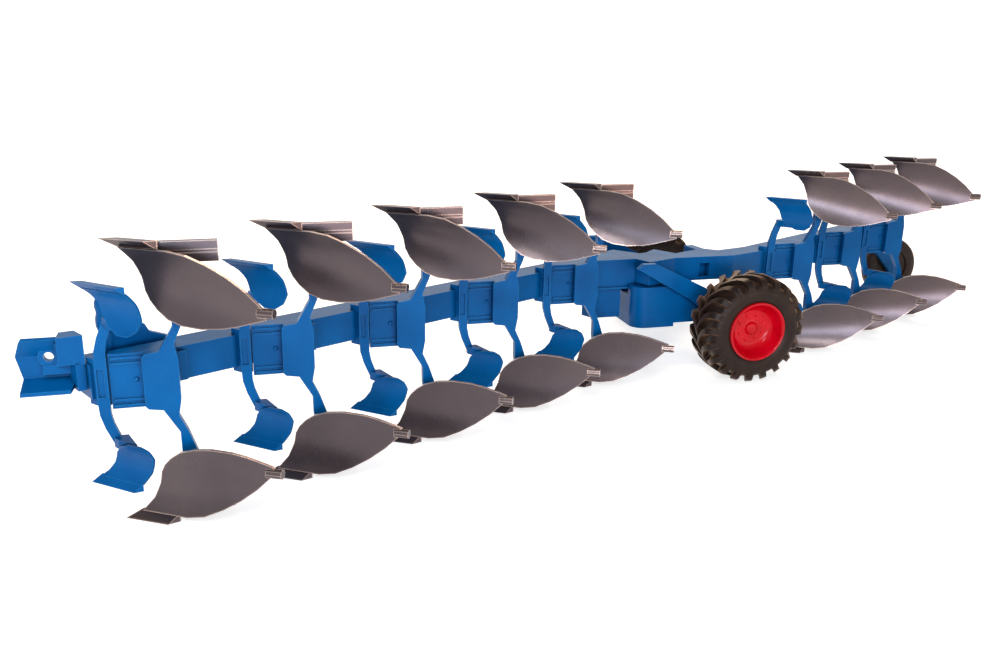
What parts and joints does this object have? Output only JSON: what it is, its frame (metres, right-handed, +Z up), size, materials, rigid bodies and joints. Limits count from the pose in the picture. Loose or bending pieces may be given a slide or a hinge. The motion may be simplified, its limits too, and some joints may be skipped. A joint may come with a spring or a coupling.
{
  "type": "toy semi-mounted reversible plough",
  "caption": "Toy reversible plough, semi-mounted: slanting blue beam, mirrored grey mouldboards above and below, a red-rimmed wheel carriage past the middle and a support wheel behind.",
  "frame": {"origin": "on the floor under the middle of the whole toy", "axes": "+X to the rear along travel, +Y to the right of the plough, +Z up"},
  "size_m": [0.6876, 0.3206, 0.1315],
  "materials": {
    "blue_plastic": "moulded blue plastic, slightly glossy",
    "grey_plastic": "metallic grey moulded plastic",
    "red_plastic": "moulded red plastic, glossy",
    "tyre": "soft black plastic tyre",
    "steel": "bright steel pin"
  },
  "bodies": {
    "bearing_head": {"bearing_head": "blue_plastic"},
    "carriage": {"carriage_frame": "blue_plastic", "left_side_plate": "blue_plastic", "right_side_plate": "blue_plastic", "axle": "steel"},
    "left_wheel": {"left_tyre": "tyre", "left_rim": "red_plastic"},
    "right_wheel": {"right_tyre": "tyre", "right_rim": "red_plastic"},
    "headstock": {"headstock": "blue_plastic"},
    "support_arm": {"support_arm": "blue_plastic"},
    "support_wheel": {"support_tyre": "tyre"},
    "plough_frame": {"front_beam": "blue_plastic", "leg_1": "blue_plastic", "leg_2": "blue_plastic", "leg_3": "blue_plastic", "leg_4": "blue_plastic", "leg_5": "blue_plastic", "leg_6": "blue_plastic", "leg_7": "blue_plastic", "leg_8": "blue_plastic", "lower_mouldboard_1": "grey_plastic", "lower_mouldboard_2": "grey_plastic", "lower_mouldboard_3": "grey_plastic", "lower_mouldboard_4": "grey_plastic", "lower_mouldboard_5": "grey_plastic", "lower_mouldboard_6": "grey_plastic", "lower_mouldboard_7": "grey_plastic", "lower_mouldboard_8": "grey_plastic", "middle_section": "blue_plastic", "rear_beam": "blue_plastic", "skimmer_1": "blue_plastic", "skimmer_2": "blue_plastic", "skimmer_3": "blue_plastic", "skimmer_4": "blue_plastic", "skimmer_5": "blue_plastic", "skimmer_6": "blue_plastic", "skimmer_7": "blue_plastic", "skimmer_8": "blue_plastic", "support_pin": "steel", "turning_shaft": "steel", "upper_mouldboard_1": "grey_plastic", "upper_mouldboard_2": "grey_plastic", "upper_mouldboard_3": "grey_plastic", "upper_mouldboard_4": "grey_plastic", "upper_mouldboard_5": "grey_plastic", "upper_mouldboard_6": "grey_plastic", "upper_mouldboard_7": "grey_plastic", "upper_mouldboard_8": "grey_plastic"}
  },
  "joints": [
    {"name": "turnover", "type": "hinge", "parent": "bearing_head", "child": "plough_frame", "pos_m": [-0.01718, 0.03473, 0.06575], "axis": [-0.8944, -0.4472, 0], "range_deg": [0, 180]},
    {"name": "headstock_turn", "type": "hinge", "parent": "plough_frame", "child": "headstock", "pos_m": [-0.31637, -0.11486, 0.06575], "axis": [-0.8944, -0.4472, 0], "range_deg": [-180, 0]},
    {"name": "carriage_swivel", "type": "hinge", "parent": "bearing_head", "child": "carriage", "pos_m": [0.03281, 0.05973, 0.04575], "axis": [0, 0, 1], "range_deg": [0, 53.14]},
    {"name": "left_wheel_spin", "type": "hinge", "parent": "carriage", "child": "left_wheel", "pos_m": [0.0766, -0.01636, 0.0358], "axis": [0, 1, 0], "continuous": true},
    {"name": "right_wheel_spin", "type": "hinge", "parent": "carriage", "child": "right_wheel", "pos_m": [0.0766, 0.13584, 0.0358], "axis": [0, 1, 0], "continuous": true},
    {"name": "support_arm_swing", "type": "hinge", "parent": "plough_frame", "child": "support_arm", "pos_m": [0.2806, 0.12524, 0.06575], "axis": [0, -1, 0], "range_deg": [0, 93.75]},
    {"name": "support_wheel_spin", "type": "hinge", "parent": "support_arm", "child": "support_wheel", "pos_m": [0.3183, 0.15434, 0.0255], "axis": [0, 1, 0], "continuous": true}
  ],
  "couplings": [
    {"joint": "headstock_turn", "follows": "turnover", "ratio": -1},
    {"joint": "carriage_swivel", "follows": "turnover", "ratio": 0.29517}
  ]
}
